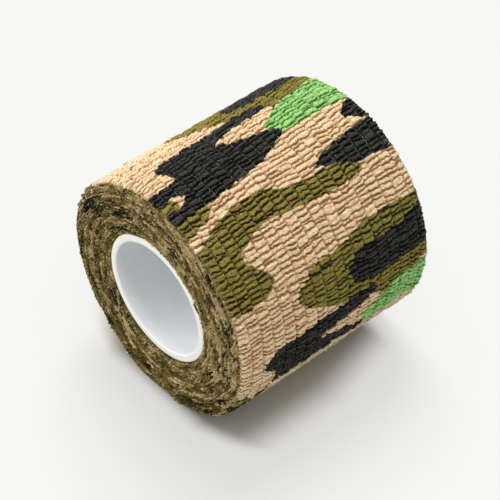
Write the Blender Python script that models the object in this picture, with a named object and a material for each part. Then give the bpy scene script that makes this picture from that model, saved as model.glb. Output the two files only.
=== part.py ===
"""Roll of self-gripping crepe wrap tape on a moulded plastic core, with a free end that peels off.

Frame: the roll lies on its side. +Y is the winding axis, +Z is up, and the origin is the middle
of the core. Angles are in degrees round +Y from +Z towards +X. The strip is wound as one spiral:
phi is the angle along it. It starts at TIP at the free end and grows towards the core, by 360 a
turn. All lengths are in metres.
"""

import math

import bmesh
import bpy

MM = 0.001
TURN = 360.0

# Tape
WIDTH = 50.0 * MM
HALF_WIDTH = WIDTH / 2
THICK = 0.45 * MM
PITCH = 0.69 * MM  # what one turn takes off the radius on the way in
TIP_RADIUS = 26.5 * MM  # outer surface at the free tip
TIP = 228.0
STEP = 10.0  # facet angle of the winding
MIN_STEP = 0.5  # a facet line closer than this to an end of the strip is left out

# Free tail: links that hinge at equal spacing
TAIL_ROOT = 300.0  # the first hinge line
LINKS = 8
LINK_ANGLE = (TAIL_ROOT - TIP) / LINKS

# Gaps, in degrees either side of a dividing line
ROOT_HALF_GAP = 0.45  # outer turn to tail
HINGE_HALF_GAP = 0.38  # link to link
TURN_HALF_GAP = 0.40  # outer turn to inner turns

# Elastic threads in grooves on the outer side of the outer turn
THREADS = 17
THREAD_PITCH = 2.82 * MM
THREAD_SHIFT = 0.37 * MM  # the rows sit off centre across the strip
GROOVE = 0.28 * MM  # depth, and half the width at the surface
THREAD_TOP = 0.06 * MM  # depths below the outer surface
THREAD_BOTTOM = 0.20 * MM
THREAD_HALF_WIDTH = 0.09 * MM

# Core
CORE_OUTER = 14.4 * MM
CORE_BORE = 12.7 * MM
CORE_LENGTH = 49.6 * MM
CORE_LIP = 0.45 * MM  # rounding radius of the four rim edges
LIP_SEGMENTS = 2
CORE_SIDES = 60
CORE_SMOOTH_ANGLE = math.radians(30)  # edges sharper than this stay crisp
WEB_BORE = 14.6 * MM  # inside of the innermost turn

# Flat contact patch under the roll
PATCH_ANGLE = 180.0
PATCH_HALF = 10.0
ANGLE_TOLERANCE = 0.01
ROUND_RADIUS = 19.0 * MM  # turns inside this radius keep round


# Spiral

def outer_radius(phi):
    """Outer surface of the strip before the patch flattens it."""
    return TIP_RADIUS - PITCH * (phi - TIP) / TURN


# Distance of the patch below the axis: the outer turn meets it at the patch's far edge.
PATCH_DROP = outer_radius(TURN + PATCH_ANGLE + PATCH_HALF) * math.cos(math.radians(PATCH_HALF))


def settled(radius, phi):
    """Radius pulled in over the patch: fully at the outer turn, fading to none near the core."""
    angle = phi % TURN
    offset = abs(angle - PATCH_ANGLE)
    if offset > PATCH_HALF + ANGLE_TOLERANCE:
        return radius
    skin = outer_radius(TURN + angle)
    sink = max(0.0, skin - PATCH_DROP / math.cos(math.radians(offset)))
    share = min(1.0, max(0.0, (radius - ROUND_RADIUS) / (skin - ROUND_RADIUS)))
    return radius - sink * share


def point_at(radius, phi, y):
    angle = math.radians(phi)
    return (radius * math.sin(angle), y, radius * math.cos(angle))


def stations_between(start, end):
    """Both ends, and the multiples of STEP between them."""
    first = math.floor(start / STEP) + 1
    last = math.ceil(end / STEP) - 1
    lines = [k * STEP for k in range(first, last + 1)]
    lines = [phi for phi in lines if phi - start > MIN_STEP and end - phi > MIN_STEP]
    return [start, *lines, end]


# Meshes

def ring_faces(ring_count, size, closed):
    """Quads between neighbouring rings of points, and from the last to the first if closed."""
    faces = []
    for i in range(ring_count if closed else ring_count - 1):
        here = i * size
        there = (i + 1) % ring_count * size
        for j in range(size):
            k = (j + 1) % size
            faces.append((here + j, here + k, there + k, there + j))
    return faces


def swept(section_at, stations):
    """Points and faces of a section carried along the stations, capped at both ends."""
    rings = [section_at(phi) for phi in stations]
    size = len(rings[0])
    points = [point for ring in rings for point in ring]
    faces = ring_faces(len(rings), size, closed=False)
    faces.append(tuple(range(size)))
    faces.append(tuple((len(rings) - 1) * size + j for j in reversed(range(size))))
    return points, faces


def lathed(profile, sides):
    """Points and faces of a closed (y, radius) profile turned round the Y axis."""
    points = [point_at(r, 360.0 * i / sides, y) for i in range(sides) for y, r in profile]
    return points, ring_faces(sides, len(profile), closed=True)


def add_object(name, points, faces, finish, origin=(0.0, 0.0, 0.0)):
    """One closed mesh with its faces pointing out and its origin where it is asked for."""
    mesh = bpy.data.meshes.new(name)
    local = [[c - o for c, o in zip(point, origin)] for point in points]
    mesh.from_pydata(local, [], faces)
    work = bmesh.new()
    work.from_mesh(mesh)
    bmesh.ops.recalc_face_normals(work, faces=work.faces)
    work.to_mesh(mesh)
    work.free()
    mesh.materials.append(finish)
    made = bpy.data.objects.new(name, mesh)
    made.location = origin
    bpy.context.scene.collection.objects.link(made)
    return made


def material(name, colour, roughness):
    made = bpy.data.materials.new(name)
    made.use_nodes = True
    shader = made.node_tree.nodes["Principled BSDF"]
    shader.inputs["Base Color"].default_value = (*colour, 1.0)
    shader.inputs["Roughness"].default_value = roughness
    return made


# Sections of the strip

def sheet_section(outline):
    """Section from (y, depth) pairs, with every depth kept below the settled outer surface."""

    def section(phi):
        skin = settled(outer_radius(phi), phi)
        return [point_at(skin - depth, phi, y) for y, depth in outline]

    return section


def inner_section(phi):
    """Plain strip whose two faces settle each by its own radius."""
    top = settled(outer_radius(phi), phi)
    low = settled(outer_radius(phi) - THICK, phi)
    corners = [(top, -HALF_WIDTH), (top, HALF_WIDTH), (low, HALF_WIDTH), (low, -HALF_WIDTH)]
    return [point_at(radius, phi, y) for radius, y in corners]


# Pieces

def core_profile():
    """Closed (y, radius) outline of the tube wall with rounded rim edges."""
    end = CORE_LENGTH / 2
    # y, radius, then the directions along y and radius into the wall
    corners = [
        (-end, CORE_BORE, 1, 1),
        (-end, CORE_OUTER, 1, -1),
        (end, CORE_OUTER, -1, -1),
        (end, CORE_BORE, -1, 1),
    ]
    profile = []
    for index, (y, radius, inward_y, inward_r) in enumerate(corners):
        arc = []
        for step in range(LIP_SEGMENTS + 1):
            angle = math.radians(90 * step / LIP_SEGMENTS)
            from_end = CORE_LIP * (1 - math.sin(angle))
            from_wall = CORE_LIP * (1 - math.cos(angle))
            arc.append((y + inward_y * from_end, radius + inward_r * from_wall))
        # Each arc runs from wall to end face, so every other one is turned round.
        profile += arc if index % 2 == 0 else arc[::-1]
    return profile


def build_core(finish):
    core = add_object("core_tube", *lathed(core_profile(), CORE_SIDES), finish)
    core.data.shade_smooth()
    core.data.set_sharp_from_angle(angle=CORE_SMOOTH_ANGLE)


def build_inner_turns(finish):
    """One strip from under the tail to the core, ending on a whole step."""
    start = TIP + TURN + TURN_HALF_GAP
    bore_reached = TIP + TURN * (TIP_RADIUS - THICK - WEB_BORE) / PITCH
    end = math.floor(bore_reached / STEP) * STEP
    add_object("wound_web", *swept(inner_section, stations_between(start, end)), finish)


def build_outer_turn(web_finish, thread_finish):
    """The turn from the tail root on, with a groove and a three-sided strand for each thread."""
    stations = stations_between(TAIL_ROOT + ROOT_HALF_GAP, TIP + TURN - TURN_HALF_GAP)
    rows = [THREAD_SHIFT + (i - (THREADS - 1) / 2) * THREAD_PITCH for i in range(THREADS)]

    outline = [(-HALF_WIDTH, 0.0)]
    for y in rows:
        outline += [(y - GROOVE, 0.0), (y, GROOVE), (y + GROOVE, 0.0)]
    outline += [(HALF_WIDTH, 0.0), (HALF_WIDTH, THICK), (-HALF_WIDTH, THICK)]
    add_object("outer_turn", *swept(sheet_section(outline), stations), web_finish)

    for number, y in enumerate(rows, start=1):
        strand = [
            (y - THREAD_HALF_WIDTH, THREAD_TOP),
            (y + THREAD_HALF_WIDTH, THREAD_TOP),
            (y, THREAD_BOTTOM),
        ]
        mesh_data = swept(sheet_section(strand), stations)
        add_object(f"elastic_thread_{number:02d}", *mesh_data, thread_finish)


def build_tail(finish):
    """Chain of links, each with its origin on the hinge line it shares with the one before."""
    outline = [
        (-HALF_WIDTH, 0.0),
        (HALF_WIDTH, 0.0),
        (HALF_WIDTH, THICK),
        (-HALF_WIDTH, THICK),
    ]
    section = sheet_section(outline)
    parent, parent_pivot = None, None
    for i in range(LINKS):
        hinge = TAIL_ROOT - i * LINK_ANGLE
        pivot = point_at(outer_radius(hinge) - THICK / 2, hinge, 0.0)
        near = hinge - (ROOT_HALF_GAP if i == 0 else HINGE_HALF_GAP)
        far = hinge - LINK_ANGLE + (HINGE_HALF_GAP if i < LINKS - 1 else 0.0)
        mesh_data = swept(section, [near, (near + far) / 2, far])
        link = add_object(f"tail_link_{i + 1}", *mesh_data, finish, origin=pivot)
        if parent is not None:
            link.parent = parent
            link.location = [a - b for a, b in zip(pivot, parent_pivot)]
        parent, parent_pivot = link, pivot


def main():
    for old in list(bpy.data.objects):
        bpy.data.objects.remove(old)

    plastic = material("core_plastic", colour=(0.86, 0.87, 0.86), roughness=0.32)
    crepe = material("crepe_web", colour=(0.62, 0.45, 0.30), roughness=0.9)
    olive = material("crepe_web_tail", colour=(0.22, 0.20, 0.05), roughness=0.9)
    elastic = material("elastic_thread", colour=(0.72, 0.70, 0.62), roughness=0.45)

    build_core(plastic)
    build_inner_turns(crepe)
    build_outer_turn(crepe, elastic)
    build_tail(olive)


main()
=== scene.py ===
"""A roll of camouflage crepe wrap tape on a white plastic core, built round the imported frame.

The roll lies along Y with its axis through the origin. Its front end faces -Y, its far end +Y, and the floor
is below it. The tape is one strip wound as a spiral. phi is the angle along it in degrees, counted from +Z
towards +X and growing from the free tip to the core; run is the length along it and y the place across it,
both in millimetres. Every surface of the fabric comes from the same two functions of (run, y): crepe() for
the puckered relief and camouflage() for the print, so the turns, their edges and the free tail all belong to
one strip.
"""

import math

import bpy
import numpy as np
from mathutils import Matrix, Vector


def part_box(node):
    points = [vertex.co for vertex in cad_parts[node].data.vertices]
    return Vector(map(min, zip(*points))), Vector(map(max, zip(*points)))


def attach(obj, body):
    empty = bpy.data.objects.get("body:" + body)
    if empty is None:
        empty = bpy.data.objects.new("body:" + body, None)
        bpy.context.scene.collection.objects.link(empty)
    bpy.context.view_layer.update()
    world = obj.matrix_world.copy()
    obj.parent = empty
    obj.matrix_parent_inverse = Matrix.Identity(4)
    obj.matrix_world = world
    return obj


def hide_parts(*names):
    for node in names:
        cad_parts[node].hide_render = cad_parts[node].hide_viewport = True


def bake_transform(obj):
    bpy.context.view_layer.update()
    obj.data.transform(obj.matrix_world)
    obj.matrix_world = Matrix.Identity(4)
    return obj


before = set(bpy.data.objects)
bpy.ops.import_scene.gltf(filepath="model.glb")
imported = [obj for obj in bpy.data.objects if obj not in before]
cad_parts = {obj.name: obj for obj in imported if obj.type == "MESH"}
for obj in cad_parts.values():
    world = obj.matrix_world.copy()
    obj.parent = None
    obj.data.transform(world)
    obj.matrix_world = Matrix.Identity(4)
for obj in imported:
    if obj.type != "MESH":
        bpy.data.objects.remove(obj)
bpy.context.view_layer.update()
MM = 0.001

# ---------------------------------------------------------------- the winding, in mm and degrees
HALF = float(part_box("wound_web")[1].y) / MM  # half the width of the strip
FLOOR_DROP = -float(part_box("outer_turn")[0].z) / MM  # from the axis down to the floor
TIP_RADIUS = 26.5  # outer surface at the free tip
PITCH = 0.69  # from one turn to the next
THICK = 0.45  # of the sheet
TIP = 228.0  # phi of the free tip
ROOT = 300.0  # phi where the free tail leaves the roll
LINK, LINKS = 9.0, 8  # arc and number of the tail links
ROOT_MID = ROOT + LINK / 2
TURN_END = TIP + 360.0
BARE_END = TURN_END + 82.0  # the turn under the tail is detailed as far as this
LAST = 6200.0  # phi at the core
THREADS, ROW, SHIFT = 17, 2.82, 0.37  # elastic threads: number, spacing, y of the middle one
THREAD_Y = [SHIFT + (i - THREADS // 2) * ROW for i in range(THREADS)]
FAR_EXTRA = 0.22  # how much further the cloth reaches at the far end


def clamp(value):
    return np.clip(value, 0.0, 1.0)


def bell(offset, width):
    return np.exp(-((offset / width) ** 2))


def angle_from(phi, centre):
    """Signed angle from centre, -180..180."""
    return np.mod(phi - centre + 180.0, 360.0) - 180.0


def skin(phi):
    """Radius of the outer surface of the strip."""
    return TIP_RADIUS - PITCH * (phi - TIP) / 360.0


def run_at(phi):
    """Length of strip from the free tip to phi."""
    turned = phi - TIP
    return math.pi / 180.0 * (TIP_RADIUS * turned - PITCH * turned * turned / 720.0)


def phi_at(run):
    """The inverse of run_at()."""
    rate = PITCH / 720.0
    root = np.sqrt(np.maximum(TIP_RADIUS * TIP_RADIUS - 4 * rate * run * 180.0 / math.pi, 0))
    return TIP + (TIP_RADIUS - root) / (2 * rate)


def row_count(start, end, step):
    return int(round((run_at(end) - run_at(start)) / step)) + 1


def stations(start, end, rows):
    """(run, phi) at even lengths along the strip."""
    run = np.linspace(run_at(start), run_at(end), rows)
    phi = phi_at(run)
    phi[0], phi[-1] = start, end
    return run, phi


def outermost(phi):
    """Outer surface of whichever turn is on the outside at this angle."""
    turned = np.mod(phi - TIP, 360.0)
    return TIP_RADIUS - PITCH * turned / 360.0


def sag(phi):
    """The soft roll leans a little to +X: fuller low on that side, flatter high on the other."""
    turned = np.mod(phi, 360.0)
    return 1.0 * bell(turned - 138.0, 28.0) - 0.34 * bell(turned - 305.0, 42.0)


def settle(radius, phi):
    """The winding sags, and flattens on the floor; inside SOLID it keeps its shape."""
    SOLID, FLAT_ARC = 18.0, 40.0
    off = np.minimum(np.abs(np.mod(phi, 360.0) - 180.0), FLAT_ARC)
    out = outermost(phi) + 0.03
    share = clamp((radius - SOLID) / (out - SOLID))
    out = out + sag(phi)
    sink = np.maximum(0.0, out - (FLOOR_DROP - 0.01) / np.cos(np.radians(off)))
    return radius + (sag(phi) - sink) * share


def end_curl(radius, phi, y):
    """The outer turns slope in over the last millimetres before each end, more on top than underneath."""
    CURLED, FADE = 2.9, 4.5  # width of the slope; depth at which it dies out
    near_end = clamp((np.abs(y) - (HALF - CURLED)) / CURLED)
    deep = outermost(phi) - radius
    front = 0.78 * (0.55 + 0.45 * np.cos(np.radians(phi - 25.0)))
    far = 0.85 * (0.50 + 0.50 * np.cos(np.radians(phi + 50.0)))
    return radius - np.where(y < 0, front, far) * near_end**2.3 * clamp(1.0 - deep / FADE)


def laid(radius, phi, y):
    """The radius once the ends have curled and the roll has settled."""
    return settle(end_curl(radius, phi, y), phi)


def bulge(phi, radius, side):
    """Underneath, the turns press out past the ends: more at the front end than at the far one."""
    most = np.where(np.asarray(side) < 0, 0.85, 0.25)
    return most * bell(np.mod(phi, 360.0) - 186.0, 42.0) * clamp((radius - 15.5) / 7.0)


def short_by(deep):
    """How much short of the full width a turn stops, at this depth below the outermost."""
    return 0.42 * np.exp(-np.maximum(deep, 0) / 0.9)


def point(phi, radius, y):
    angle = np.radians(phi)
    return np.stack([radius * np.sin(angle), y, radius * np.cos(angle)], axis=-1) * MM


# ---------------------------------------------------------------- repeatable noise
def random_at(*keys, seed):
    """A number in 0..1 for whole-number keys."""
    state = np.uint64(0x9E3779B97F4A7C15)
    with np.errstate(over="ignore"):
        for key in (*keys, seed):
            key = np.asarray(key).astype(np.int64).astype(np.uint64)
            state = (state ^ (key * np.uint64(0xBF58476D1CE4E5B9))) * np.uint64(0x94D049BB133111EB)
            state = state ^ (state >> np.uint64(29))
    return (state >> np.uint64(40)).astype(np.float64) / float(1 << 24)


def jitter(spread, *keys, seed):
    """A number spread evenly round 0."""
    return spread * (random_at(*keys, seed=seed) - 0.5)


def noise(x, y, seed):
    """Smooth noise in -1..1 with a period of one unit."""
    x, y = np.broadcast_arrays(np.asarray(x, float), np.asarray(y, float))
    i, j = np.floor(x), np.floor(y)
    ease_x, ease_y = (part * part * (3 - 2 * part) for part in (x - i, y - j))
    low, high = (
        random_at(i, j + k, seed=seed) * (1 - ease_x) + random_at(i + 1, j + k, seed=seed) * ease_x
        for k in (0, 1)
    )
    return 2 * (low * (1 - ease_y) + high * ease_y) - 1


# ---------------------------------------------------------------- crepe relief
PUCKER = 1.13  # from one ridge to the next
PRINT_RADIUS = 26.19
DEGREE = math.pi / 180.0 * PRINT_RADIUS  # millimetres of strip for one degree of the outer turn
TOP_RUN = run_at(360.0)  # the top of the roll on the outer turn


def drifted(run, y):
    return run + 0.40 * noise(run / 6.0, y / 5.0, seed=1)


def ridge_place(run, row):
    """Ridges counted along the strip; each row starts its own count."""
    return run / PUCKER + jitter(0.55, row, seed=3)


def crepe(run, y):
    """(height in mm, 0 at the tops; depth 0..1 into the creases) of the puckered sheet.

    Between two neighbouring elastic threads the sheet gathers into short plump ridges across the strip,
    each parted from the next by a sharp crease. Here and there a crease gapes into a lens-shaped hole. Along
    a thread the sheet is pinched down.
    """
    across = (y - SHIFT) / ROW
    row = np.floor(across)
    part = across - row  # 0..1 from one thread to the next
    ridges = ridge_place(drifted(run, y) + 0.16 * noise(run / 2.2, y / 2.0, seed=2), row)
    base = np.floor(ridges)
    fold, hole, passed = (np.zeros_like(ridges) for _ in range(3))
    # the strip lies looser, so its creases are deeper, low on the +X side of the roll
    loose = 1.0 + 0.50 * clamp(((run - TOP_RUN) / DEGREE - 55.0) / 50.0)
    for step in (-1, 0, 1, 2):
        crease = base + step
        # the line of the crease, in ridges
        place = crease + jitter(0.46, row, crease, seed=4)
        lean = jitter(0.40, row, crease, seed=5) * (part - 0.5)
        bow = jitter(0.24, row, crease, seed=6) * np.sin(np.pi * part)
        shake = 0.08 * noise(3.1 * part, 7.3 * crease + 1.7 * row, seed=18)
        shake = shake + 0.13 * noise(y / 0.40, 5.1 * crease, seed=26)
        offset = ridges - place - lean - bow - shake
        passed += offset > 0
        distance = np.abs(offset) * PUCKER
        # a lens shape along the crease
        middle = 0.5 + jitter(0.24, row, crease, seed=7)
        half = 0.40 + 0.16 * random_at(row, crease, seed=8)
        lens = clamp(1 - ((part - middle) / half) ** 2) ** 0.5
        # most creases are deep, a few are half as deep
        depth = 0.50 + 0.58 * random_at(row, crease, seed=9)
        depth = depth * (0.50 + 0.50 * (random_at(row, crease, seed=10) > 0.12))
        reach = 0.50 + 0.14 * random_at(row, crease, seed=20)
        slope = (1 - clamp(distance / reach)) ** 2.5
        fold = np.maximum(fold, loose * depth * (0.40 + 0.60 * lens) * slope)
        # three creases in ten gape
        gape = clamp((random_at(row, crease, seed=19) - 0.70) / 0.30)
        width = (0.10 + 0.20 * gape) * lens + 1e-6
        pit = (gape > 0) * (0.20 + 0.25 * gape) * lens
        hole = np.maximum(hole, pit * clamp(1 - (distance / width) ** 2))
    # the pinch along a thread, and the fine gathers on it
    to_thread = np.minimum(part, 1 - part) * ROW
    near = bell(to_thread, 0.24)
    pinch = near * (0.47 + 0.14 * noise(run / 1.1, row, seed=12))
    gather = near * 0.06 * np.sin(2 * np.pi * (run / 0.55 + 0.7 * noise(run / 1.7, across, seed=13)))
    # felted fibres, then slow swells
    fibres = 0.050 * noise(run / 0.42, y / 0.75, seed=14) + 0.045 * noise(run / 0.27, y / 0.42, seed=15)
    fibres = fibres + 0.090 * noise(run / 0.29, y / 1.1, seed=29)
    swell = 0.08 * noise(run / 9.0, y / 7.0, seed=16) + 0.09 * noise(run / 2.6, y / 2.4, seed=17)
    # every ridge stands a little higher or lower than the next
    ridge = jitter(0.27, row, base + passed, seed=25) * clamp(to_thread / 0.5)
    # small tufts and pits
    tufts = 0.100 * noise(run / 0.32, y / 0.40, seed=27)
    tufts = tufts - 0.26 * clamp(noise(run / 0.40, y / 0.46, seed=28) - 0.42)
    LIFT, DEEPEST = 0.11, -1.08
    height = -fold - hole - pinch + gather + fibres + tufts + swell + ridge + LIFT
    return np.maximum(height, DEEPEST), clamp((fold + hole + 0.38 * pinch) / 0.68)


# ---------------------------------------------------------------- camouflage print
REPEAT = 109.4 * DEGREE
# Closed outlines: (degrees along the outer turn from the top of the roll, millimetres across).
SHAPES = {
    "olive": [
        [(4, -27), (11, -27), (11, -23.5), (9.5, -21.6), (7.4, -20.8), (5, -21.6), (4, -23.5)],
        [(15, -27), (26.4, -27), (24.6, -24.2), (22.6, -21.4), (20.2, -18.2), (17.5, -16.8),
         (15.2, -17.6), (14.6, -21)],
        [(33.4, -27), (30.8, -24.4), (27.8, -21.8), (24.8, -19.0), (22.2, -15.8), (20.9, -12), (21, -8),
         (22.2, -4.6), (24.6, -2), (26.6, 1), (27.2, 5), (28, 9), (27.6, 12), (29.2, 14.8), (33, 15.7),
         (36.6, 15), (38.1, 12), (37.5, 8), (37.1, 4), (36.5, 0), (35.4, -4), (34.5, -8), (35.4, -11.6),
         (37.4, -14.2), (39, -16.3), (42, -17.1), (46, -17), (49, -15.2), (53, -13.8), (57, -13.2),
         (60.2, -14.8), (62.6, -18), (63.1, -21), (61.6, -24), (60.4, -27)],
        [(65.2, -6.8), (67.6, -8.9), (71.5, -9.4), (75.8, -8.5), (80.6, -5.6), (84, -2.5), (86.2, 0.4),
         (88.4, 3), (92, 8), (94.2, 11), (95.6, 14), (95, 18), (92, 21.5), (89.4, 24), (88, 27),
         (57.5, 27), (56.8, 22), (55.2, 18), (54.9, 13), (56.4, 9), (59, 5), (60.6, 1), (61, -2),
         (62.8, -5)],
    ],
    "green": [
        [(-11.6, 10), (-8.8, 8), (-5.4, 6.3), (0, 6.1), (2.6, 8), (3.5, 11), (3, 15), (3, 20), (4, 23),
         (4.6, 27), (-18, 27), (-17.6, 22), (-17, 18), (-15.2, 14), (-13.2, 11)],
    ],
    "black": [
        [(-3, -27), (-3, -22), (-3.6, -18.6), (-5.4, -16.6), (-7.6, -17.4), (-11, -18.5), (-15.4, -18.3),
         (-19.2, -16.2), (-20, -13), (-20, -9), (-20.8, -4), (-21.6, 0), (-22.2, 4), (-22.6, 7.6),
         (-21, 10.4), (-18.4, 10.4), (-16.2, 8), (-15, 4), (-14, 0), (-12.6, -3.4), (-10.2, -5.1),
         (-8, -3.2), (-6, 0), (-4, 3.6), (-2.2, 6.2), (0.8, 7.6), (4.4, 6), (7, 3), (9.8, 0), (11.4, -4),
         (12.6, -8), (14, -12), (14.9, -16), (15.2, -20), (15.8, -23), (16.3, -27), (10.6, -27),
         (10.2, -23), (8.2, -20), (5.6, -18.2), (4.4, -21), (4, -27)],
        [(4.8, 27), (4.8, 23.6), (7, 21.4), (10, 20.2), (13, 20.6), (15.2, 22.4), (17.2, 24), (18, 27)],
        [(25.6, 7.1), (22.6, 9), (20.4, 12.4), (19.4, 16), (18.5, 20), (18.4, 27), (33.6, 27),
         (33.6, 21), (32.5, 17), (30.6, 14), (28.2, 11.4), (27.2, 8.4)],
        [(70, 5), (72, 4.2), (76, 3.9), (80, 4.6), (82.6, 7), (83.1, 11), (82.5, 15), (83, 19),
         (81, 22.5), (79, 27), (60.6, 27), (63, 22.5), (65.5, 19), (66.1, 15.5), (65, 12), (65.4, 9),
         (67.4, 6.6)],
    ],
}
CELL = 0.25  # spacing of the table of distances
FAR_OFF = 3  # distances are kept up to this


def rounded(outline):
    """The outline in millimetres with its corners rounded: a Catmull-Rom curve through its points."""
    here = np.array(outline, float)
    here[:, 0] *= DEGREE
    before, after, beyond = (np.roll(here, k, 0) for k in (1, -1, -2))
    out = []
    for part in (0.0, 0.25, 0.5, 0.75):
        square = (2 * before - 5 * here + 4 * after - beyond) * part**2
        cube = (3 * here - before - 3 * after + beyond) * part**3
        out.append(0.5 * (2 * here + (after - before) * part + square + cube))
    return np.stack(out, 1).reshape(-1, 2)


def inside_by(points, outline):
    """Distance to the outline, positive inside it."""
    best = np.full(len(points), 1e9)
    crossings = np.zeros(len(points), int)
    x, y = points[:, 0], points[:, 1]
    for (x0, y0), (x1, y1) in zip(outline, np.roll(outline, -1, 0)):
        dx, dy = x1 - x0, y1 - y0
        part = clamp(((x - x0) * dx + (y - y0) * dy) / max(dx * dx + dy * dy, 1e-12))
        best = np.minimum(best, (x - x0 - part * dx) ** 2 + (y - y0 - part * dy) ** 2)
        if y0 != y1:
            crossings += ((y0 > y) != (y1 > y)) & (x < x0 + (y - y0) * dx / dy)
    return np.where(crossings % 2 == 1, 1.0, -1.0) * np.sqrt(best)


def print_tiles():
    """One repeat of the print as a table of signed distances for each ink."""
    runs = np.arange(0, REPEAT, CELL)
    places = np.arange(-HALF - 1, HALF + 1 + CELL, CELL)
    grid = np.stack(np.meshgrid(runs, places, indexing="ij"), -1).reshape(-1, 2)
    tiles = {}
    for ink, shapes in SHAPES.items():
        field = np.full(len(grid), -9.0)
        for shape in shapes:
            outline = rounded(shape)
            for repeat in (-1, 0, 1):
                moved = outline + (repeat * REPEAT, 0)
                first, last = moved[:, 0].min() - FAR_OFF, moved[:, 0].max() + FAR_OFF
                if last < 0 or first > REPEAT:
                    continue
                near = (grid[:, 0] > first) & (grid[:, 0] < last)
                field[near] = np.maximum(field[near], inside_by(grid[near], moved))
        tiles[ink] = np.clip(field, -FAR_OFF, FAR_OFF).reshape(len(runs), len(places))
    return places, tiles


TILE_Y, TILES = print_tiles()


def camouflage(run, y):
    """Signed distances of the three inks at a place on the strip; the base cloth is tan."""
    row = np.floor((y - SHIFT) / ROW)
    ridge = np.floor(ridge_place(drifted(run, y), row))
    # the print drifts a little from one repeat to the next
    degrees = (run - TOP_RUN) / DEGREE
    behind = clamp((-22.0 - degrees) / 6.0)
    ahead = clamp((degrees - 91.0) / 4.0) * clamp((y + 8.0) / 4.0)
    ahead = ahead * (1.0 - 0.6 * clamp((y - 11.0) / 6.0))
    # each ridge is shifted by itself, and the outlines are ragged
    shifted = run - TOP_RUN + 1.7 * DEGREE * (behind - ahead) + jitter(0.45, row, ridge, seed=21)
    shifted = shifted + 0.30 * noise(run / 0.9, y / 1.4, seed=22)
    across = y - 1.8 * behind - 1.1 * ahead + jitter(0.55, row, ridge, seed=23)
    across = across + 0.25 * noise(run / 1.1, y / 0.9, seed=24)
    # read the tables, blending between cells
    cells = len(TILES["black"])
    shifted = np.mod(shifted, REPEAT) / CELL
    i = np.floor(shifted).astype(int)
    part_i = shifted - i
    i0, i1 = i % cells, (i + 1) % cells
    across = np.clip((across - TILE_Y[0]) / CELL, 0, len(TILE_Y) - 1.001)
    j = np.floor(across).astype(int)
    part_j = across - j
    found = {}
    for ink, tile in TILES.items():
        here, after = (tile[k, j] * (1 - part_j) + tile[k, j + 1] * part_j for k in (i0, i1))
        found[ink] = here * (1 - part_i) + after * part_i
    # low on the +X side the black stops short, and bare tan runs along under it
    low = degrees + 0.8 * noise(run / 2.0, y / 2.5, seed=37)
    wavy = low - 114.7 - 0.7 * noise(y / 5.0, 0.0, seed=38)
    under = np.minimum(np.minimum(wavy, 124.0 - low) * DEGREE, y + 16.5)
    front = np.minimum(np.minimum(low - 103.0, 114.5 - low) * DEGREE, -15.8 - y)
    found["black"] = np.minimum(found["black"], -np.maximum(under, front))
    return found


# ---------------------------------------------------------------- meshes from arrays
def mesh_of(name, points, polygons):
    """points is an array; polygons is a list of index arrays, each (n, corners)."""
    mesh = bpy.data.meshes.new(name)
    mesh.vertices.add(len(points))
    mesh.vertices.foreach_set("co", np.ascontiguousarray(points, np.float32).ravel())
    corners = np.concatenate([group.ravel() for group in polygons]).astype(np.int32)
    counts = np.concatenate([np.full(len(group), group.shape[1]) for group in polygons])
    starts = np.concatenate([[0], np.cumsum(counts)[:-1]]).astype(np.int32)
    mesh.loops.add(len(corners))
    mesh.loops.foreach_set("vertex_index", corners)
    mesh.polygons.add(len(starts))
    mesh.polygons.foreach_set("loop_start", starts)
    mesh.update(calc_edges=True)
    mesh.validate(clean_customdata=False)
    mesh.shade_smooth()
    made = bpy.data.objects.new(name, mesh)
    bpy.context.scene.collection.objects.link(made)
    return made


def tag(obj, **values):
    """Stores point attributes: vectors for arrays of rows, otherwise floats."""
    for name, value in values.items():
        value = np.asarray(value, np.float32)
        kind, field = ("FLOAT_VECTOR", "vector") if value.ndim == 2 else ("FLOAT", "value")
        obj.data.attributes.new(name, kind, "POINT").data.foreach_set(field, value.ravel())


def unwrap(obj, across, upward):
    """Takes the two UV coordinates of each corner of each face."""
    layer = obj.data.uv_layers.new(name="OFBake")
    pairs = np.stack([across, upward], 1)
    layer.data.foreach_set("uv", np.ascontiguousarray(pairs, np.float32).ravel())


def corners_of(mesh):
    """(vertex, face) of each face corner."""
    vertex = np.empty(len(mesh.loops), np.int32)
    mesh.loops.foreach_get("vertex_index", vertex)
    total = np.empty(len(mesh.polygons), np.int32)
    mesh.polygons.foreach_get("loop_total", total)
    return vertex, np.repeat(np.arange(len(total)), total)


def corner_places(mesh, rows, ring):
    """(face, row, column) of each corner of a tube; a closing corner counts as column `ring`."""
    vertex, face = corners_of(mesh)
    row, column = vertex // ring, vertex % ring
    closing = (face < (rows - 1) * ring) & (face % ring == ring - 1) & (column == 0)
    return face, row, np.where(closing, ring, column)


def unwrap_bands(obj, rows, ring, bands, end_gap, side_gap):
    """Lays a long thin tube out in bands, one above the other."""
    face, row, column = corner_places(obj.data, rows, ring)
    band = np.minimum(np.minimum(face // ring, rows - 2) * bands // (rows - 1), bands - 1)
    lengthwise = clamp(row / (rows - 1) * bands - band)
    upward = (band + side_gap + (1 - 2 * side_gap) * column / ring) / bands
    unwrap(obj, end_gap + (1 - 2 * end_gap) * lengthwise, upward)


def tube_faces(rows, ring):
    """Quads between rows of `ring` points, closed round the ring."""
    i = np.arange(rows - 1)[:, None]
    j = np.arange(ring)[None, :]
    k = (j + 1) % ring
    here, after = i * ring, (i + 1) * ring
    return np.stack([here + j, after + j, after + k, here + k], -1).reshape(-1, 4).astype(np.int64)


def tube_caps(rows, ring):
    return np.array([list(range(ring))[::-1], range((rows - 1) * ring, rows * ring)], np.int64)


def on_roll(obj, material, replaced=None):
    obj.data.materials.append(material)
    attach(obj, "roll")
    if replaced:
        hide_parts(replaced)


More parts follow.
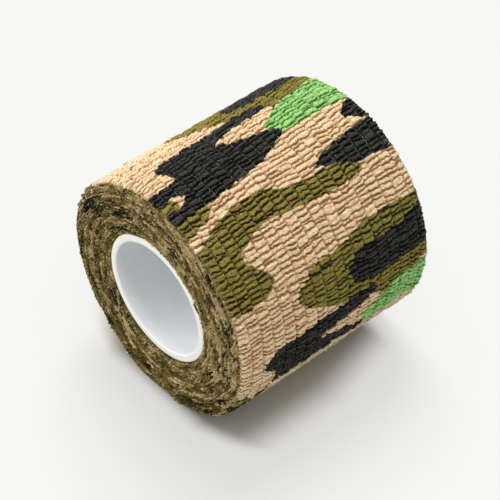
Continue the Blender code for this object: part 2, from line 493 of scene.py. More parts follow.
# ---------------------------------------------------------------- a stretch of the strip
def edge_y(run, phi, side, deep):
    """How far the cut edge reaches: outer turns stop a little short, and every edge is uneven."""
    wander = 0.10 * noise(run / 14.0, side, seed=31) + 0.17 * noise(run / 1.4, side, seed=32)
    bits = 0.20 * noise(run / 0.55, side, seed=33)
    pressed = bulge(phi, skin(phi), side)
    return side * (HALF + 0.02 - short_by(deep) + wander + bits + pressed + FAR_EXTRA * (side > 0))


def sheet_cap(first, columns, ring):
    """Triangles that close one end of a sheet, between its outside and its underside."""
    top = range(first, first + columns)
    below = range(first + ring - 1, first + columns - 1, -1)
    last_top, last_below = len(top) - 1, len(below) - 1
    triangles, i, j = [], 0, 0
    while i < last_top or j < last_below:
        if j == last_below or (i < last_top and i / last_top <= j / last_below):
            triangles.append((top[i], top[i + 1], below[j]))
            i += 1
        else:
            triangles.append((top[i], below[j + 1], below[j]))
            j += 1
    return np.array(triangles, np.int64)


def sheet_uv(made, rows, ring, columns, both_faces):
    """Lays the outside of a sheet flat, with the underside beside it and the end caps above."""
    face, row, column = corner_places(made.data, rows, ring)
    quad = face < (rows - 1) * ring
    outside = face % ring < columns
    split = columns / ring if both_faces else 0.80
    inner = np.where(outside, column / columns, (column - columns) / (ring - columns))
    across = np.where(outside, inner * split, split + 0.01 + inner * (0.99 - split))
    unwrap(
        made,
        np.where(quad, 0.01 + 0.97 * across, 0.02 + 0.9 * column / ring),
        np.where(quad, (0.01 + 0.98 * (row / (rows - 1))) * 0.98, 0.985 + 0.01 * (row > 0)),
    )


def sheet(name, start, end, step, columns, both_faces):
    """A stretch of strip from angle start to angle end: puckered outside, thin, with rounded cut edges.

    With both_faces the underside is puckered too; otherwise it is a plain one of five columns.
    """
    rows = row_count(start, end, step)
    run, phi = stations(start, end, rows)
    deep = outermost(phi) - skin(phi)
    low, high = edge_y(run, phi, -1.0, deep), edge_y(run, phi, 1.0, deep)
    across = np.linspace(0, 1, columns)
    y = low[:, None] * (1 - across) + high[:, None] * across
    runs = np.repeat(run[:, None], columns, 1)
    phis = np.repeat(phi[:, None], columns, 1)
    height, groove = crepe(runs, y)
    # the cut edge frays down over its last tenths, and its creases stay within the thickness
    to_edge = np.minimum(y - low[:, None], high[:, None] - y)
    rim = clamp(1 - to_edge / 0.35)
    height = np.maximum(height, -0.36 - 0.6 * clamp(to_edge / 1.2))
    # the cut edge stands up here and lies down there
    end_key = np.sign(y) * 3.0
    frill = 0.30 * noise(runs / 0.95, end_key, seed=35) + 0.18 * noise(runs / 0.45, end_key, seed=36)
    height = height + frill * bell(to_edge, 0.75)
    # the edge draws back where a crease runs out over it
    y = y - 0.40 * groove * clamp(1 - to_edge / 0.8) * np.sign(y)
    RIM_DROP = 0.10
    thick = THICK - 0.09

    def edge_line(column, outward):
        """The line of points half way down a cut edge."""
        at = y[:, column]
        radius = laid(skin(phi) + height[:, column] - RIM_DROP - thick / 2, phi, at)
        return radius[:, None], (at + outward)[:, None], groove[:, [column]], 0.5

    top = laid(skin(phis) + height - RIM_DROP * rim**2, phis, y)
    if both_faces:
        under = skin(phis) + np.minimum(0.34 * height - thick - 0.02, height - 0.13)
        below = (laid(under, phis, y)[:, ::-1], y[:, ::-1], groove[:, ::-1], 1.0)
    else:
        few = np.array([1.0, 0.96, 0.5, 0.04, 0.0])
        sunk = np.array([0.0, 0.62, 0.62, 0.62, 0.0])
        few_y = y[:, [0]] * (1 - few) + y[:, [-1]] * few
        few_phi = np.repeat(phi[:, None], len(few), 1)
        under = laid(skin(few_phi) - THICK - sunk, few_phi, few_y)
        below = (under, few_y, np.zeros_like(few_y), 1.0)

    # columns of (radius, y, groove, back), round from the outside to the underside
    parts = [(top, y, groove, 0.0), edge_line(-1, 0.05), below, edge_line(0, -0.05)]
    radius, ring_y, ring_groove = (np.concatenate([part[i] for part in parts], 1) for i in range(3))
    back = np.concatenate([np.full(part[0].shape, part[3]) for part in parts], 1).ravel()
    ring = radius.shape[1]
    xyz = point(np.repeat(phi[:, None], ring, 1), radius, ring_y).reshape(-1, 3)
    caps = [sheet_cap(0, columns, ring), sheet_cap((rows - 1) * ring, columns, ring)[:, ::-1]]
    made = mesh_of(name, xyz, [tube_faces(rows, ring)] + caps)
    ring_run, ring_y = np.repeat(run, ring), ring_y.ravel()
    ink = camouflage(ring_run, np.clip(ring_y, -HALF, HALF))
    tag(
        made,
        ink_olive=ink["olive"],
        ink_green=ink["green"],
        ink_black=ink["black"],
        groove=ring_groove.ravel(),
        back=back,  # 0 outside, 0.5 on the cut edge, 1 underneath
        strip=np.stack([ring_run, ring_y, 3.0 * back], 1),
    )
    sheet_uv(made, rows, ring, columns, both_faces)
    return made


# ---------------------------------------------------------------- materials
class Look:
    """A material and short ways to add nodes to it."""

    def __init__(self, name):
        self.material = bpy.data.materials.new(name)
        self.material.use_nodes = True
        self.tree = self.material.node_tree

    def new(self, kind, **settings):
        node = self.tree.nodes.new(kind)
        for key, value in settings.items():
            setattr(node, key, value)
        return node

    def put(self, socket, value):
        if isinstance(value, bpy.types.NodeSocket):
            self.tree.links.new(value, socket)
        elif isinstance(value, (tuple, list)) and len(value) == 3 and socket.type == "RGBA":
            socket.default_value = (*value, 1.0)
        else:
            socket.default_value = value

    def finish(self, values):
        """Sets the inputs of the surface shader and gives the material."""
        shader = self.tree.nodes["Principled BSDF"]
        for name, value in values.items():
            self.put(shader.inputs[name], value)
        return self.material

    def attribute(self, name, vector=False):
        node = self.new("ShaderNodeAttribute", attribute_name=name, attribute_type="GEOMETRY")
        return node.outputs["Vector" if vector else "Fac"]

    def math(self, operation, first, second=None):
        node = self.new("ShaderNodeMath", operation=operation)
        self.put(node.inputs[0], first)
        if second is not None:
            self.put(node.inputs[1], second)
        return node.outputs[0]

    def plus(self, first, second):
        return self.math("ADD", first, second)

    def minus(self, first, second):
        return self.math("SUBTRACT", first, second)

    def times(self, first, second):
        return self.math("MULTIPLY", first, second)

    def ramp(self, value, span, to=(0.0, 1.0)):
        """Takes value smoothly from one range to another."""
        node = self.new("ShaderNodeMapRange", interpolation_type="SMOOTHSTEP")
        for i, number in enumerate((value, *span, *to)):
            self.put(node.inputs[i], number)
        return node.outputs[0]

    def mix(self, factor, first, second, blend="MIX"):
        node = self.new("ShaderNodeMix", data_type="RGBA", blend_type=blend)
        for i, value in ((0, factor), (6, first), (7, second)):  # 6 and 7 are the colour inputs
            self.put(node.inputs[i], value)
        return node.outputs[2]

    def toned(self, colour, tone):
        """The colour multiplied by a grey."""
        grey = self.new("ShaderNodeCombineColor")
        for i in range(3):
            self.put(grey.inputs[i], tone)
        return self.mix(1.0, colour, grey.outputs[0], "MULTIPLY")

    def scaled(self, vector, scale):
        node = self.new("ShaderNodeVectorMath", operation="MULTIPLY")
        self.put(node.inputs[0], vector)
        node.inputs[1].default_value = scale
        return node.outputs[0]

    def millimetres(self):
        """The place on the object, in millimetres."""
        return self.scaled(self.new("ShaderNodeTexCoord").outputs["Object"], (1000.0, 1000.0, 1000.0))

    def split(self, vector):
        node = self.new("ShaderNodeSeparateXYZ")
        self.put(node.inputs[0], vector)
        return node.outputs

    def noise(self, vector, scale, detail=2.0, roughness=0.55):
        node = self.new("ShaderNodeTexNoise")
        self.put(node.inputs["Vector"], vector)
        node.inputs["Scale"].default_value = scale
        node.inputs["Detail"].default_value = detail
        node.inputs["Roughness"].default_value = roughness
        return node.outputs["Fac"]

    def bump(self, height, distance, strength=1.0):
        node = self.new("ShaderNodeBump")
        node.inputs["Strength"].default_value = strength
        node.inputs["Distance"].default_value = distance
        self.put(node.inputs["Height"], height)
        return node.outputs["Normal"]


# Colours of the cloth on its ridges, and the painted shade deep in its creases.
TAN, TAN_CREASE_SHADE = (0.990, 0.752, 0.468), (0.46, 0.250, 0.106)
TAN_PINK = (0.930, 0.640, 0.405)
GREEN = (0.370, 0.690, 0.225)
# (attribute, colour on the ridges, painted shade colour in the creases, spread of the tone)
INKS = (
    ("ink_olive", (0.270, 0.222, 0.038), (0.040, 0.028, 0.003), 0.45),
    ("ink_green", GREEN, (0.075, 0.215, 0.040), 0.28),
    ("ink_black", (0.0220, 0.0212, 0.0192), (0.0012, 0.0012, 0.0012), 0.80),
)


def crepe_material():
    """Printed crepe non-woven."""
    # the first is pale fibre ends lit as a painted glint, the second is bare fibre ends
    PALE_FIBRE_GLINT, BARE_FIBRE = (0.25, 0.245, 0.22), (0.46, 0.43, 0.33)
    UNPRINTED, CUT_CLOTH = (0.46, 0.35, 0.20), (0.66, 0.54, 0.33)
    look = Look("printed_crepe")
    strip = look.attribute("strip", vector=True)
    groove, back = look.attribute("groove"), look.attribute("back")
    ragged = look.noise(strip, scale=2.6, detail=3.0, roughness=0.6)
    ragged = look.times(look.minus(ragged, 0.5), 0.55)
    patches = look.noise(strip, scale=0.33, detail=3.0, roughness=0.6)
    fine = look.noise(look.scaled(strip, (1.0, 0.45, 1.0)), scale=4.2, detail=3.0, roughness=0.65)
    specks = look.noise(strip, scale=6.0, roughness=0.7)
    # depth (how far into a crease) sets the painted shade in the creases
    depth = look.ramp(groove, span=(0.05, 0.50))

    def cloth(light, deep, spread):
        """Varied in tone on the ridges; in the creases painted shade makes it even and dark."""
        even = look.mix(depth, light, deep)
        darker = tuple(c * (1 - spread) for c in light)
        lighter = tuple(min(1, c * (1 + spread)) for c in light)
        varied = look.mix(look.ramp(fine, span=(0.30, 0.72)), darker, lighter)
        return look.mix(look.ramp(depth, span=(0.0, 1.0), to=(0.75, 0.0)), even, varied)

    # tan cloth, with painted shade in its creases
    colour = look.mix(
        look.ramp(patches, span=(0.35, 0.7)),
        cloth(TAN, TAN_CREASE_SHADE, spread=0.12),
        cloth(TAN_PINK, TAN_CREASE_SHADE, spread=0.16),
    )
    for ink, light, deep, spread in INKS:
        distance = look.plus(look.attribute(ink), ragged)
        edge = look.ramp(distance, span=(-0.10, 0.12))
        colour = look.mix(edge, colour, cloth(light, deep, spread))
        if ink == "ink_black":
            # pale fibre ends in the black, lit up as a painted glint; painted shade thins them out down in the
            # creases
            glint = look.times(look.ramp(specks, span=(0.53, 0.66)), look.ramp(distance, span=(0.0, 0.3)))
            glint = look.times(glint, look.ramp(depth, span=(0.0, 0.6), to=(0.38, 0.02)))
            colour = look.mix(glint, colour, PALE_FIBRE_GLINT)
    # the cloth is a felt of short fibres, so its tone changes from fibre to fibre
    tone = look.times(
        look.ramp(specks, span=(0.30, 0.70), to=(0.60, 1.36)),
        look.ramp(fine, span=(0.28, 0.72), to=(0.82, 1.16)),
    )
    colour = look.toned(colour, tone)
    # bare fibre ends that the ink missed, thinned out by painted shade down in the creases
    missed = look.times(
        look.ramp(specks, span=(0.58, 0.70)), look.ramp(depth, span=(0.0, 0.5), to=(0.42, 0.04))
    )
    colour = look.mix(missed, colour, BARE_FIBRE)
    # the unprinted side: the print shows through faintly
    reverse = look.mix(0.60, UNPRINTED, colour)
    colour = look.mix(look.ramp(back, span=(0.55, 1.0)), colour, reverse)
    # the cut edge shows the unprinted middle of the cloth
    cut = look.times(look.ramp(back, span=(0.15, 0.45)), look.ramp(back, span=(0.90, 0.60)))
    colour = look.mix(look.times(cut, 0.38), colour, CUT_CLOTH)
    return look.finish({
        "Base Color": colour,
        "Roughness": look.ramp(fine, span=(0.3, 0.7), to=(0.90, 0.58)),
        "Specular IOR Level": look.ramp(specks, span=(0.45, 0.75), to=(0.12, 0.50)),
        "Sheen Weight": 0.02,
        "Sheen Roughness": 0.5,
        "Normal": look.bump(look.plus(look.times(fine, 0.6), look.times(specks, 0.4)), distance=0.00016),
    })


def edge_material():
    """The cut edges of the wound turns, in the colours of face_print."""
    OLIVE_BROWN, NEAR_BLACK = (0.27, 0.205, 0.070), (0.016, 0.015, 0.013)
    look = Look("wound_edges")
    strip = look.attribute("strip", vector=True)
    fine = look.noise(strip, scale=2.6, detail=3.0, roughness=0.65)
    specks = look.noise(strip, scale=5.0, roughness=0.7)
    tone = look.times(
        look.ramp(specks, span=(0.30, 0.70), to=(0.50, 1.45)),
        look.ramp(fine, span=(0.28, 0.72), to=(0.76, 1.18)),
    )
    colour = look.toned(look.attribute("tint", vector=True), tone)
    colour = look.mix(look.ramp(fine, span=(0.45, 0.65), to=(0.15, 0.6)), colour, OLIVE_BROWN)
    colour = look.mix(look.ramp(specks, span=(0.64, 0.74), to=(0.0, 0.5)), colour, NEAR_BLACK)
    return look.finish({
        "Base Color": colour,
        "Roughness": look.ramp(fine, span=(0.2, 0.8), to=(0.97, 0.80)),
        "Specular IOR Level": 0.12,
        "Normal": look.bump(specks, distance=0.00012),
    })


def thread_material():
    """Elastic yarn, mottled from dark to pale."""
    look = Look("elastic_yarn")
    strip = look.attribute("strip", vector=True)
    grain = look.noise(strip, scale=3.0, roughness=0.6)
    mottled = look.ramp(grain, span=(0.35, 0.65))
    return look.finish({
        "Base Color": look.mix(mottled, (0.13, 0.125, 0.100), (0.76, 0.73, 0.61)),
        "Roughness": look.ramp(grain, span=(0.2, 0.8), to=(0.30, 0.50)),
        "Normal": look.bump(look.noise(strip, scale=9.0), distance=0.00003, strength=0.5),
    })


def loose_material():
    """Short fibres, each in its own tint."""
    look = Look("loose_fibres")
    grain = look.noise(look.attribute("strip", vector=True), scale=5.0, roughness=0.6)
    tint = look.attribute("tint", vector=True)
    worn = look.ramp(grain, span=(0.3, 0.7))
    return look.finish({
        "Base Color": look.mix(worn, look.scaled(tint, (0.75, 0.75, 0.75)), tint),
        "Roughness": 0.9,
        "Specular IOR Level": 0.12,
        "Normal": look.bump(grain, distance=0.00003, strength=0.5),
    })


def core_material():
    """White plastic, cloudy, with faint marks drawn along the axis."""
    look = Look("core_plastic")
    where = look.millimetres()
    cloud = look.noise(where, scale=0.16, detail=3.0)
    drag = look.noise(look.scaled(where, (1.0, 0.04, 1.0)), scale=1.6, roughness=0.5)
    pores = look.noise(where, scale=6.0, roughness=0.6)
    cloudy = look.ramp(cloud, span=(0.3, 0.7))
    colour = look.mix(cloudy, (0.855, 0.875, 0.885), (0.885, 0.900, 0.905))
    # painted bounce light: past 13 mm from the axis, towards the cloth, the cut ends are tinted cream as if lit by
    # the tan cloth
    x, _, z = look.split(where)
    from_axis = look.math("SQRT", look.plus(look.times(x, x), look.times(z, z)))
    colour = look.mix(look.ramp(from_axis, span=(13.0, 13.9)), colour, (0.93, 0.915, 0.80))
    return look.finish({
        "Base Color": colour,
        "Roughness": look.ramp(drag, span=(0.3, 0.7), to=(0.42, 0.52)),
        "Subsurface Weight": 0.25,
        "Subsurface Radius": (0.0016, 0.0014, 0.0012),
        "Normal": look.bump(
            look.plus(look.times(drag, 0.3), look.times(pores, 0.10)), distance=0.00002, strength=0.25
        ),
    })


CREPE = crepe_material()
EDGES = edge_material()
YARN = thread_material()
LOOSE = loose_material()
PLASTIC = core_material()

# ---------------------------------------------------------------- outer turn
outer = sheet("outer_wrap", ROOT_MID, TURN_END, step=0.115, columns=325, both_faces=False)
on_roll(outer, CREPE, "outer_turn")

# the next turn down, where it lies bare under the free tail
bare = sheet("turn_under_tail", TURN_END, BARE_END, step=0.20, columns=161, both_faces=False)
on_roll(bare, CREPE, "wound_web")

# ---------------------------------------------------------------- colours of the end faces
# tan, olive brown, deep olive and black
FIBRES = np.array([(0.80, 0.600, 0.31), (0.37, 0.280, 0.078), (0.165, 0.125, 0.026), (0.012, 0.011, 0.010)])
# where black gathers on the end face, or thins out: (phi, spread, radius, spread, amount)
DARK_BANDS = [
    (236, 24, 17.0, 1.6, 1.50), (328, 22, 20.0, 2.0, 0.85), (298, 18, 23.3, 1.3, 1.10),
    (40, 24, 16.6, 1.2, 0.70), (6, 14, 21.2, 1.2, 0.60), (112, 14, 18.4, 1.4, 0.70),
    (142, 10, 23.4, 1.2, 0.70), (98, 26, 23.2, 1.8, -0.80), (60, 20, 18.8, 1.5, -0.45),
    (268, 12, 18.8, 1.3, -0.50),
]


def face_key(side):
    """The random key of an end face."""
    return 60 + int(side > 0)


def face_print(turn, phi, radius, side, odd=0.0):
    """The colour of a cut edge: it changes along each turn as the print goes by.

    odd (-1..1) makes one fibre differ.
    """
    key = face_key(side)
    x, z = radius * np.sin(np.radians(phi)), radius * np.cos(np.radians(phi))
    arc = np.radians(np.mod(phi, 360.0)) * radius
    # patch picks tan, olive brown or deep olive: darker underneath, paler towards +X
    patch = 0.16 + 0.60 * noise(x / 3.0, z / 3.0, seed=key + 3)
    patch = patch + 1.7 * noise(turn * 7.7, arc / 2.8, seed=key + 4) + 1.10 * odd
    low = bell(np.mod(phi, 360.0) - 182.0, 40.0)
    right = angle_from(phi, 72.0)
    patch = patch - 0.52 * low + 0.34 * bell(right, 44.0)
    patch = patch + 0.50 * np.exp(-((right / 70.0) ** 2) - ((radius - 23.8) / 1.0) ** 2)
    bands = 0.0
    for angle, spread, band_radius, width, amount in DARK_BANDS:
        turned = angle_from(phi, angle) / spread
        bands = bands + amount * np.exp(-(turned**2) - ((radius - band_radius) / width) ** 2)
    # dark picks black
    dark = 1.75 * noise(turn * 5.3, arc / 1.5, seed=key + 5)
    dark = dark + 0.75 * noise(turn * 0.45, arc / 9.0, seed=key + 7)
    dark = dark + 0.6 * noise(x / 2.8, z / 2.8, seed=key + 6) + bands - 0.05 + 0.10 * low - 0.75 * odd
    patch, dark = patch[..., None], dark[..., None]
    tint = np.where(patch > 0.30, FIBRES[0], np.where(patch > -0.25, FIBRES[1], FIBRES[2]))
    return np.where(dark > 0.88, FIBRES[3], tint)


# ---------------------------------------------------------------- the wound turns below
def wound_turns():
    """The rest of the strip, down to the core. Only its two cut edges show, so the detail is there."""
    rows = int((run_at(LAST) - run_at(BARE_END)) / 0.22)
    run, phi = stations(BARE_END, LAST, rows)
    deep = outermost(phi) - skin(phi)
    middle = skin(phi) - 0.5 * PITCH
    radii, places, tints = [], [], []
    for side in (-1.0, 1.0):
        tint = face_print(np.floor(deep / PITCH + 0.5), phi, middle, side)
        # the edge zigzags with the puckers
        wave = run / PUCKER + 0.8 * noise(run / 5.0, side, seed=41)
        zigzag = 2 * np.abs(2 * (wave - np.floor(wave + 0.5))) - 1
        size = 0.17 * (0.75 + 0.75 * noise(run / 2.3, side, seed=42))
        centre = middle + (size * zigzag + 0.11 * noise(run / 0.50, side, seed=43))
        half = 0.22 + 0.09 * noise(run / 0.7, side, seed=44)
        uneven = 0.16 * noise(run / 0.8, side, seed=46) + 0.14 * noise(run / 2.6, side, seed=47) - 0.10
        reach = edge_y(run, phi, side, deep) + side * uneven
        # further in, the turns are pressed together and nothing shows between them
        inner = deep > 1.6 * PITCH
        packed = np.where(inner, 0.42, half)
        root = np.where(inner, middle, centre)
        inside = side * np.where(inner, HALF - 2.8, HALF - 1.6)
        shoulder = reach - side * 0.26
        outline = (
            (root + packed, inside),
            (centre + half * 0.95, shoulder),
            (centre + 0.14 * noise(run / 0.6, side, seed=45), reach),
            (centre - half * 0.95, shoulder),
            (root - packed, inside),
        )
        if side > 0:
            outline = outline[::-1]
        for radius, y in outline:
            radii.append(laid(radius, phi, y))
            places.append(y)
            tints.append(tint)
    radius, y, tint = (np.stack(group, 1) for group in (radii, places, tints))
    ring = radius.shape[1]
    xyz = point(np.repeat(phi[:, None], ring, 1), radius, y).reshape(-1, 3)
    faces = [tube_faces(rows, ring)[:, ::-1], tube_caps(rows, ring)[:, ::-1]]
    made = mesh_of("wound_turns", xyz, faces)
    tag(made, tint=tint.reshape(-1, 3), strip=xyz / MM)
    unwrap_bands(made, rows, ring, bands=28, end_gap=0.005, side_gap=0.04)
    on_roll(made, EDGES, "wound_web")


wound_turns()


def loose_fibres(side):
    """The felted look of an end face: short fibres lying every way on the cut edges of the turns."""
    COUNT, AT_RIM, STATIONS, SIDES = 19000, 2400, 4, 4
    INNER, OUTER, LEAST = 14.62, TIP_RADIUS - 0.25, 14.50  # radii; LEAST clears the core
    points_each = STATIONS * SIDES
    k = np.arange(COUNT)
    key = face_key(side)

    def chance(seed):
        return random_at(k, key, seed=seed)

    # the middle of each fibre
    mid_radius = np.sqrt(INNER**2 + (OUTER**2 - INNER**2) * chance(1))
    mid_phi = 360.0 * chance(2)
    surface = outermost(mid_phi + 360.0)
    mid_radius = np.minimum(mid_radius, surface - 0.40)
    # the last ones stand out round the rim
    at_rim = k >= COUNT - AT_RIM
    mid_radius = np.where(at_rim, surface - 0.10 - 0.45 * chance(12), mid_radius)
    length = 0.22 + 0.42 * chance(3)
    heading = (math.pi * (chance(4) + chance(5) - 1.0) * 0.52)[:, None]
    bend = jitter(2.4, k, key, seed=6)
    thick = 0.045 + 0.050 * chance(7) ** 2
    lift = 0.02 + 0.22 * chance(8) ** 2 - at_rim * 0.30 * chance(13)
    # the line of each fibre, bent and arched, its ends dipping into the face
    place = np.linspace(-0.5, 0.5, STATIONS)[None, :]
    lengthwise = length[:, None] * place
    sideways = bend[:, None] * length[:, None] * (place**2 - 0.08) * 0.8
    tangential = lengthwise * np.cos(heading) - sideways * np.sin(heading)
    radius = mid_radius[:, None] + (lengthwise * np.sin(heading) + sideways * np.cos(heading))
    phi = mid_phi[:, None] + np.degrees(tangential / mid_radius[:, None])
    deep = surface - mid_radius
    base = HALF - 0.16 - short_by(deep) + bulge(mid_phi, mid_radius, side) + FAR_EXTRA * (side > 0)
    reach = base[:, None] + lift[:, None] * (1 - (2 * place) ** 2) - 0.16 * np.abs(2 * place) ** 3
    # a square section round the line, thinner at the ends
    size = (thick[:, None] * (1 - 0.5 * (2 * place) ** 4))[:, :, None]
    angle = 2 * np.pi * np.arange(SIDES) / SIDES
    turn = heading[:, :, None]
    radius = radius[:, :, None] + size * np.cos(angle) * np.cos(turn)
    aside = size * np.cos(angle) * np.sin(turn)
    phi = phi[:, :, None] - np.degrees(aside / mid_radius[:, None, None])
    y = side * (reach[:, :, None] + size * np.sin(angle))
    radius = np.maximum(laid(radius, phi + 360.0, y), LEAST)
    xyz = point(phi.ravel(), radius.ravel(), y.ravel())
    shift = (k * points_each)[:, None, None]
    faces = np.concatenate(
        [(group[None] + shift).reshape(-1, 4) for group in (tube_faces(STATIONS, SIDES), tube_caps(STATIONS, SIDES))]
    )
    if side > 0:
        faces = faces[:, ::-1]
    made = mesh_of("end_fibres_" + ("back" if side > 0 else "front"), xyz, [faces])

    # the colour of each fibre follows the printed patch it comes from
    tint = face_print(np.floor(deep / PITCH), mid_phi, mid_radius, side, 2 * chance(9) - 1)
    tint = tint * (0.58 + 0.84 * chance(11))[:, None]
    # round the rim the fibres belong to the outermost turn
    turn_phi = ROOT_MID + np.mod(mid_phi - ROOT_MID, 360.0)
    ink = camouflage(run_at(turn_phi), np.full(COUNT, side * (HALF - 0.4)))
    rim_tint = np.broadcast_to(FIBRES[0], tint.shape)
    for name, colour in (("olive", FIBRES[1] * 0.8), ("green", np.array(GREEN) * 0.7), ("black", FIBRES[3])):
        rim_tint = np.where(ink[name][:, None] > 0, colour, rim_tint)
    tint = np.where(at_rim[:, None], rim_tint * (0.6 + 0.8 * chance(14))[:, None], tint)
    tag(made, tint=np.repeat(tint, points_each, 0), strip=xyz / MM)

    # each fibre has its own square of the map
    vertex, _ = corners_of(made.data)
    fibre, local = vertex // points_each, vertex % points_each
    wide = int(math.ceil(math.sqrt(COUNT)))
    unwrap(
        made,
        (fibre % wide) / wide + (0.1 + 0.8 * (local // SIDES) / (STATIONS - 1)) / wide,
        (fibre // wide) / wide + (0.1 + 0.8 * (local % SIDES) / SIDES) / wide,
    )
    on_roll(made, LOOSE)


loose_fibres(-1.0)
loose_fibres(1.0)

# ---------------------------------------------------------------- elastic threads
YARN_STEP, YARN_SIDES = 0.25, 6


def yarn(start, end, y):
    """(points, strip coordinates) of one elastic thread lying in its trough."""
    run, phi = stations(start, end, row_count(start, end, YARN_STEP))
    thick = 0.030 + 0.012 * noise(run / 0.9, y, seed=54)
    middle = y + 0.05 * noise(run / 1.9, y, seed=51)
    # the yarn is drawn straight, so it shows where the cloth dips and runs under the ridges between
    height, _ = crepe(run, middle)
    window = np.hanning(11) / np.hanning(11).sum()
    drawn = np.convolve(np.pad(height, 5, mode="edge"), window, mode="valid")
    # down the sides the cloth is packed closer and hides more of it
    from_top = np.abs(np.mod(phi + 150.0, 360.0) - 150.0)
    packed = 0.085 * clamp((from_top - 35.0) / 35.0)
    radius = skin(phi) + drawn + 0.008 - packed
    radius = radius + 0.06 * noise(run / 1.2, y, seed=52) + 0.04 * noise(run / 4.0, y, seed=53)
    angle = 2 * np.pi * np.arange(YARN_SIDES) / YARN_SIDES
    radius = radius[:, None] + thick[:, None] * np.cos(angle)
    ring_y = middle[:, None] + thick[:, None] * np.sin(angle)
    phis = np.repeat(phi[:, None], YARN_SIDES, 1)
    xyz = point(phis, laid(radius, phis, ring_y), ring_y).reshape(-1, 3)
    return xyz, np.stack([np.repeat(run, YARN_SIDES), ring_y.ravel(), np.zeros(len(xyz))], 1)


def threads(name, start, end, places):
    """One object of the elastic threads at the given y."""
    rows = row_count(start, end, YARN_STEP)
    points, strips = zip(*(yarn(start, end, y) for y in places))
    polygons = [
        group + i * rows * YARN_SIDES
        for group in (tube_faces(rows, YARN_SIDES), tube_caps(rows, YARN_SIDES))
        for i in range(len(places))
    ]
    made = mesh_of(name, np.concatenate(points), polygons)
    tag(made, strip=np.concatenate(strips))
    return made


for i, y in enumerate(THREAD_Y, 1):
    made = threads(f"thread_{i:02d}", ROOT_MID, TURN_END, [y])
    rows = row_count(ROOT_MID, TURN_END, YARN_STEP)
    unwrap_bands(made, rows, YARN_SIDES, bands=16, end_gap=0.01, side_gap=0.05)
    on_roll(made, YARN, f"elastic_thread_{i:02d}")


def bend_with(obj, index):
    """Piece `index` keeps its place with its transform applied; the last one rides on the last link."""
    if index > LINKS:
        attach(obj, f"tail_{LINKS}")
        return
    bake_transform(obj)


# each piece runs from the middle of one link to the middle of the next
for k in range(1, LINKS + 2):
    high = ROOT_MID - (k - 1) * LINK
    low = max(TIP, high - LINK)
    cloth = sheet(f"tail_{k}", low, high, step=0.20, columns=177, both_faces=True)
    cloth.data.materials.append(CREPE)
    cloth.data.materials.append(YARN)
    bend_with(cloth, k)
    if k <= LINKS:
        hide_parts(f"tail_link_{k}")
    elastic = threads(f"tail_threads_{k}", low, high, THREAD_Y)
    elastic.data.materials.append(YARN)
    bend_with(elastic, k)


# ---------------------------------------------------------------- core
def core_profile():
    """The closed section of the core: (y, radius) in millimetres."""
    end, outside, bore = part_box("core_tube")[1].y / MM, 14.45, 12.7
    lip, shoulder = 0.34, 0.4  # roundings of the inner and outer edges
    out = []

    def arc(y, radius, size, first, last, steps=9):
        for i in range(steps):
            angle = math.radians(first + (last - first) * i / (steps - 1))
            out.append((y + size * math.cos(angle), radius + size * math.sin(angle)))

    arc(-end + lip, bore + lip, lip, 270, 180)
    arc(-end + shoulder, outside - shoulder, shoulder, 180, 90)
    for part in np.linspace(-0.9, 0.9, 7):
        out.append((part * end, outside))
    arc(end - shoulder, outside - shoulder, shoulder, 90, 0)
    arc(end - lip, bore + lip, lip, 0, -90)
    for part in np.linspace(0.92, -0.92, 25):
        out.append((part * end, bore + 0.02 * math.cos(3 * part)))
    return np.array(out)


def turned_core(sides=256):
    """The section turned about the roll's axis."""
    profile = core_profile()
    ring = len(profile)
    angle = 360.0 * np.arange(sides) / sides
    y, radius = (np.repeat(profile[None, :, i], sides, 0) for i in (0, 1))
    xyz = point(np.repeat(angle[:, None], ring, 1), radius, y).reshape(-1, 3)
    # the last row of faces joins back to the first points
    made = mesh_of("core", xyz, [tube_faces(sides + 1, ring) % (sides * ring)])
    edges = np.linalg.norm(np.roll(profile, -1, 0) - profile, axis=1)
    outline = np.concatenate([[0], np.cumsum(edges)])
    face, row, column = corner_places(made.data, sides + 1, ring)
    row = np.where((face // ring == sides - 1) & (row == 0), sides, row)
    unwrap(made, 0.01 + 0.98 * row / sides, 0.01 + 0.98 * outline[column] / outline[-1])
    return made


core = turned_core()
bpy.context.view_layer.update()
on_roll(core, PLASTIC, "core_tube")


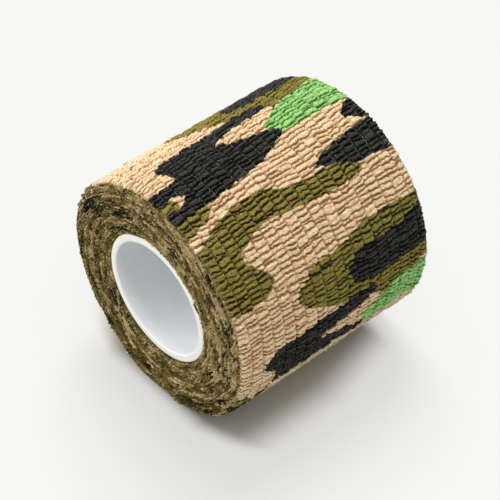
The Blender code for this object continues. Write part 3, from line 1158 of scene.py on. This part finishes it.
# ---------------------------------------------------------------- floor
def card_material():
    """Pale card with a faint painted glow, seen only by the camera, away from the roll, which thins the shadow
    towards its edge.
    """
    look = Look("floor_card")
    where = look.millimetres()
    haze = look.noise(where, scale=0.02)
    x, y, _ = look.split(where)
    across = look.math("ABSOLUTE", x)
    # distance out past the roll's sides, from 19.5 mm, widening towards +Y
    away = look.plus(across, look.times(look.math("MAXIMUM", y, 0.0), 0.25))
    beside = look.math("MAXIMUM", look.minus(away, 19.5), 0.0)
    # distance past its ends, from 17 mm and further out at the front, less so at the corners
    past_corner = look.math("MAXIMUM", look.minus(across, 14.0), 0.0)
    corner = look.minus(6.5, look.times(past_corner, 0.35))
    limit = look.plus(17.0, look.times(look.math("LESS_THAN", y, 0.0), corner))
    beyond = look.math("MAXIMUM", look.minus(look.math("ABSOLUTE", y), limit), 0.0)
    beyond = look.times(beyond, 2.2)
    reach = look.math("SQRT", look.plus(look.times(beside, beside), look.times(beyond, beyond)))
    # painted light: only camera rays see the glow, and where it glows the card's own colour drops to grey
    seen = look.new("ShaderNodeLightPath").outputs["Is Camera Ray"]
    glow = look.times(look.ramp(reach, span=(0.0, 10.5)), seen)
    card = look.mix(haze, (0.885, 0.885, 0.872), (0.90, 0.90, 0.888))
    # painted bounce light: seen from the camera the card is tinted tan, which shows close to the roll where the glow
    # is weak
    share = look.times(seen, 1.0)
    card = look.mix(share, card, look.mix(haze, (0.90, 0.875, 0.755), (0.91, 0.885, 0.765)))
    return look.finish({
        "Base Color": look.mix(glow, card, (0.50, 0.50, 0.492)),
        "Emission Color": (1.0, 1.0, 0.985),
        "Emission Strength": look.times(glow, 0.545),
        "Roughness": 0.9,
        "Specular IOR Level": 0.1,
    })


def make_floor():
    size, z = 1.6, -FLOOR_DROP * MM
    corners = [(-size, -size, z), (size, -size, z), (size, size, z), (-size, size, z)]
    mesh = bpy.data.meshes.new("floor")
    mesh.from_pydata(corners, [], [(0, 1, 2, 3)])
    made = bpy.data.objects.new("floor", mesh)
    bpy.context.scene.collection.objects.link(made)
    mesh.materials.append(card_material())
    return made


floor = make_floor()


# ---------------------------------------------------------------- light
def studio_world():
    """A cool sky, brighter overhead."""
    world = bpy.data.worlds.new("studio")
    bpy.context.scene.world = world
    world.use_nodes = True
    nodes, links = world.node_tree.nodes, world.node_tree.links
    where = nodes.new("ShaderNodeTexCoord")
    split = nodes.new("ShaderNodeSeparateXYZ")
    level = nodes.new("ShaderNodeMapRange")
    links.new(where.outputs["Generated"], split.inputs[0])
    links.new(split.outputs["Z"], level.inputs["Value"])
    for socket, value in (("From Min", -0.1), ("From Max", 0.9), ("To Min", 0.17), ("To Max", 0.54)):
        level.inputs[socket].default_value = value
    # seen directly, beyond the far edge of the card, it is as pale as the card
    seen = nodes.new("ShaderNodeLightPath")
    shown = nodes.new("ShaderNodeMix")
    shown.inputs[3].default_value = 0.88
    links.new(seen.outputs["Is Camera Ray"], shown.inputs[0])
    links.new(level.outputs[0], shown.inputs[2])
    links.new(shown.outputs[0], nodes["Background"].inputs["Strength"])
    nodes["Background"].inputs["Color"].default_value = (0.97, 0.985, 1.0, 1.0)


def sun(name, towards, strength, angle, colour):
    """A soft light that shines from the direction `towards`."""
    data = bpy.data.lights.new(name, "SUN")
    data.energy, data.angle, data.color = strength, math.radians(angle), colour
    made = bpy.data.objects.new(name, data)
    made.rotation_euler = Vector(towards).to_track_quat("Z", "Y").to_euler()
    bpy.context.scene.collection.objects.link(made)
    return made


studio_world()
sun("key_softbox", towards=(-0.50, 0.42, 1.0), strength=1.30, angle=34, colour=(1.0, 0.985, 0.96))
# the next two are flagged off the card, so that only the key softbox draws a shadow on it
spared = bpy.data.collections.new("flagged_off")
spared.objects.link(floor)
spared.collection_objects[0].light_linking.link_state = "EXCLUDE"
for beam in (
    sun("front_fill", towards=(-0.80, -0.85, 0.60), strength=1.42, angle=60, colour=(1.0, 0.99, 0.965)),
    sun("side_softbox", towards=(0.47, -0.05, 1.0), strength=0.98, angle=12, colour=(1.0, 0.98, 0.94)),
):
    beam.light_linking.receiver_collection = spared
# a small one for the core alone
bore_only = bpy.data.collections.new("bore_only")
bore_only.objects.link(core)
bore_fill = sun("bore_fill", towards=(-0.25, -1.00, 0.72), strength=0.60, angle=50, colour=(0.98, 0.99, 1.0))
bore_fill.light_linking.receiver_collection = bore_only


# ---------------------------------------------------------------- camera
def make_camera():
    """Looks down on the roll from the front, on the +X side."""
    azimuth, elevation = math.radians(48.63), math.radians(44.63)
    distance, aside, raised = 377.35, -0.05, -1.80  # from the origin, in the camera's own axes
    level = math.cos(elevation)
    back = Vector((math.sin(azimuth) * level, -math.cos(azimuth) * level, math.sin(elevation)))
    right = Vector((math.cos(azimuth), math.sin(azimuth), 0))
    up = back.cross(right)
    camera = bpy.data.objects.new("camera", bpy.data.cameras.new("camera"))
    bpy.context.scene.collection.objects.link(camera)
    camera.data.sensor_width = 36.0
    camera.data.lens = 133.128
    camera.data.clip_start, camera.data.clip_end = 0.01, 10.0
    place = (back * distance + right * aside + up * raised) * MM
    turn = Matrix((right, up, back)).transposed().to_4x4()
    camera.matrix_world = Matrix.Translation(place) @ turn
    bpy.context.scene.camera = camera


make_camera()
bpy.context.scene.view_settings.view_transform = "Standard"
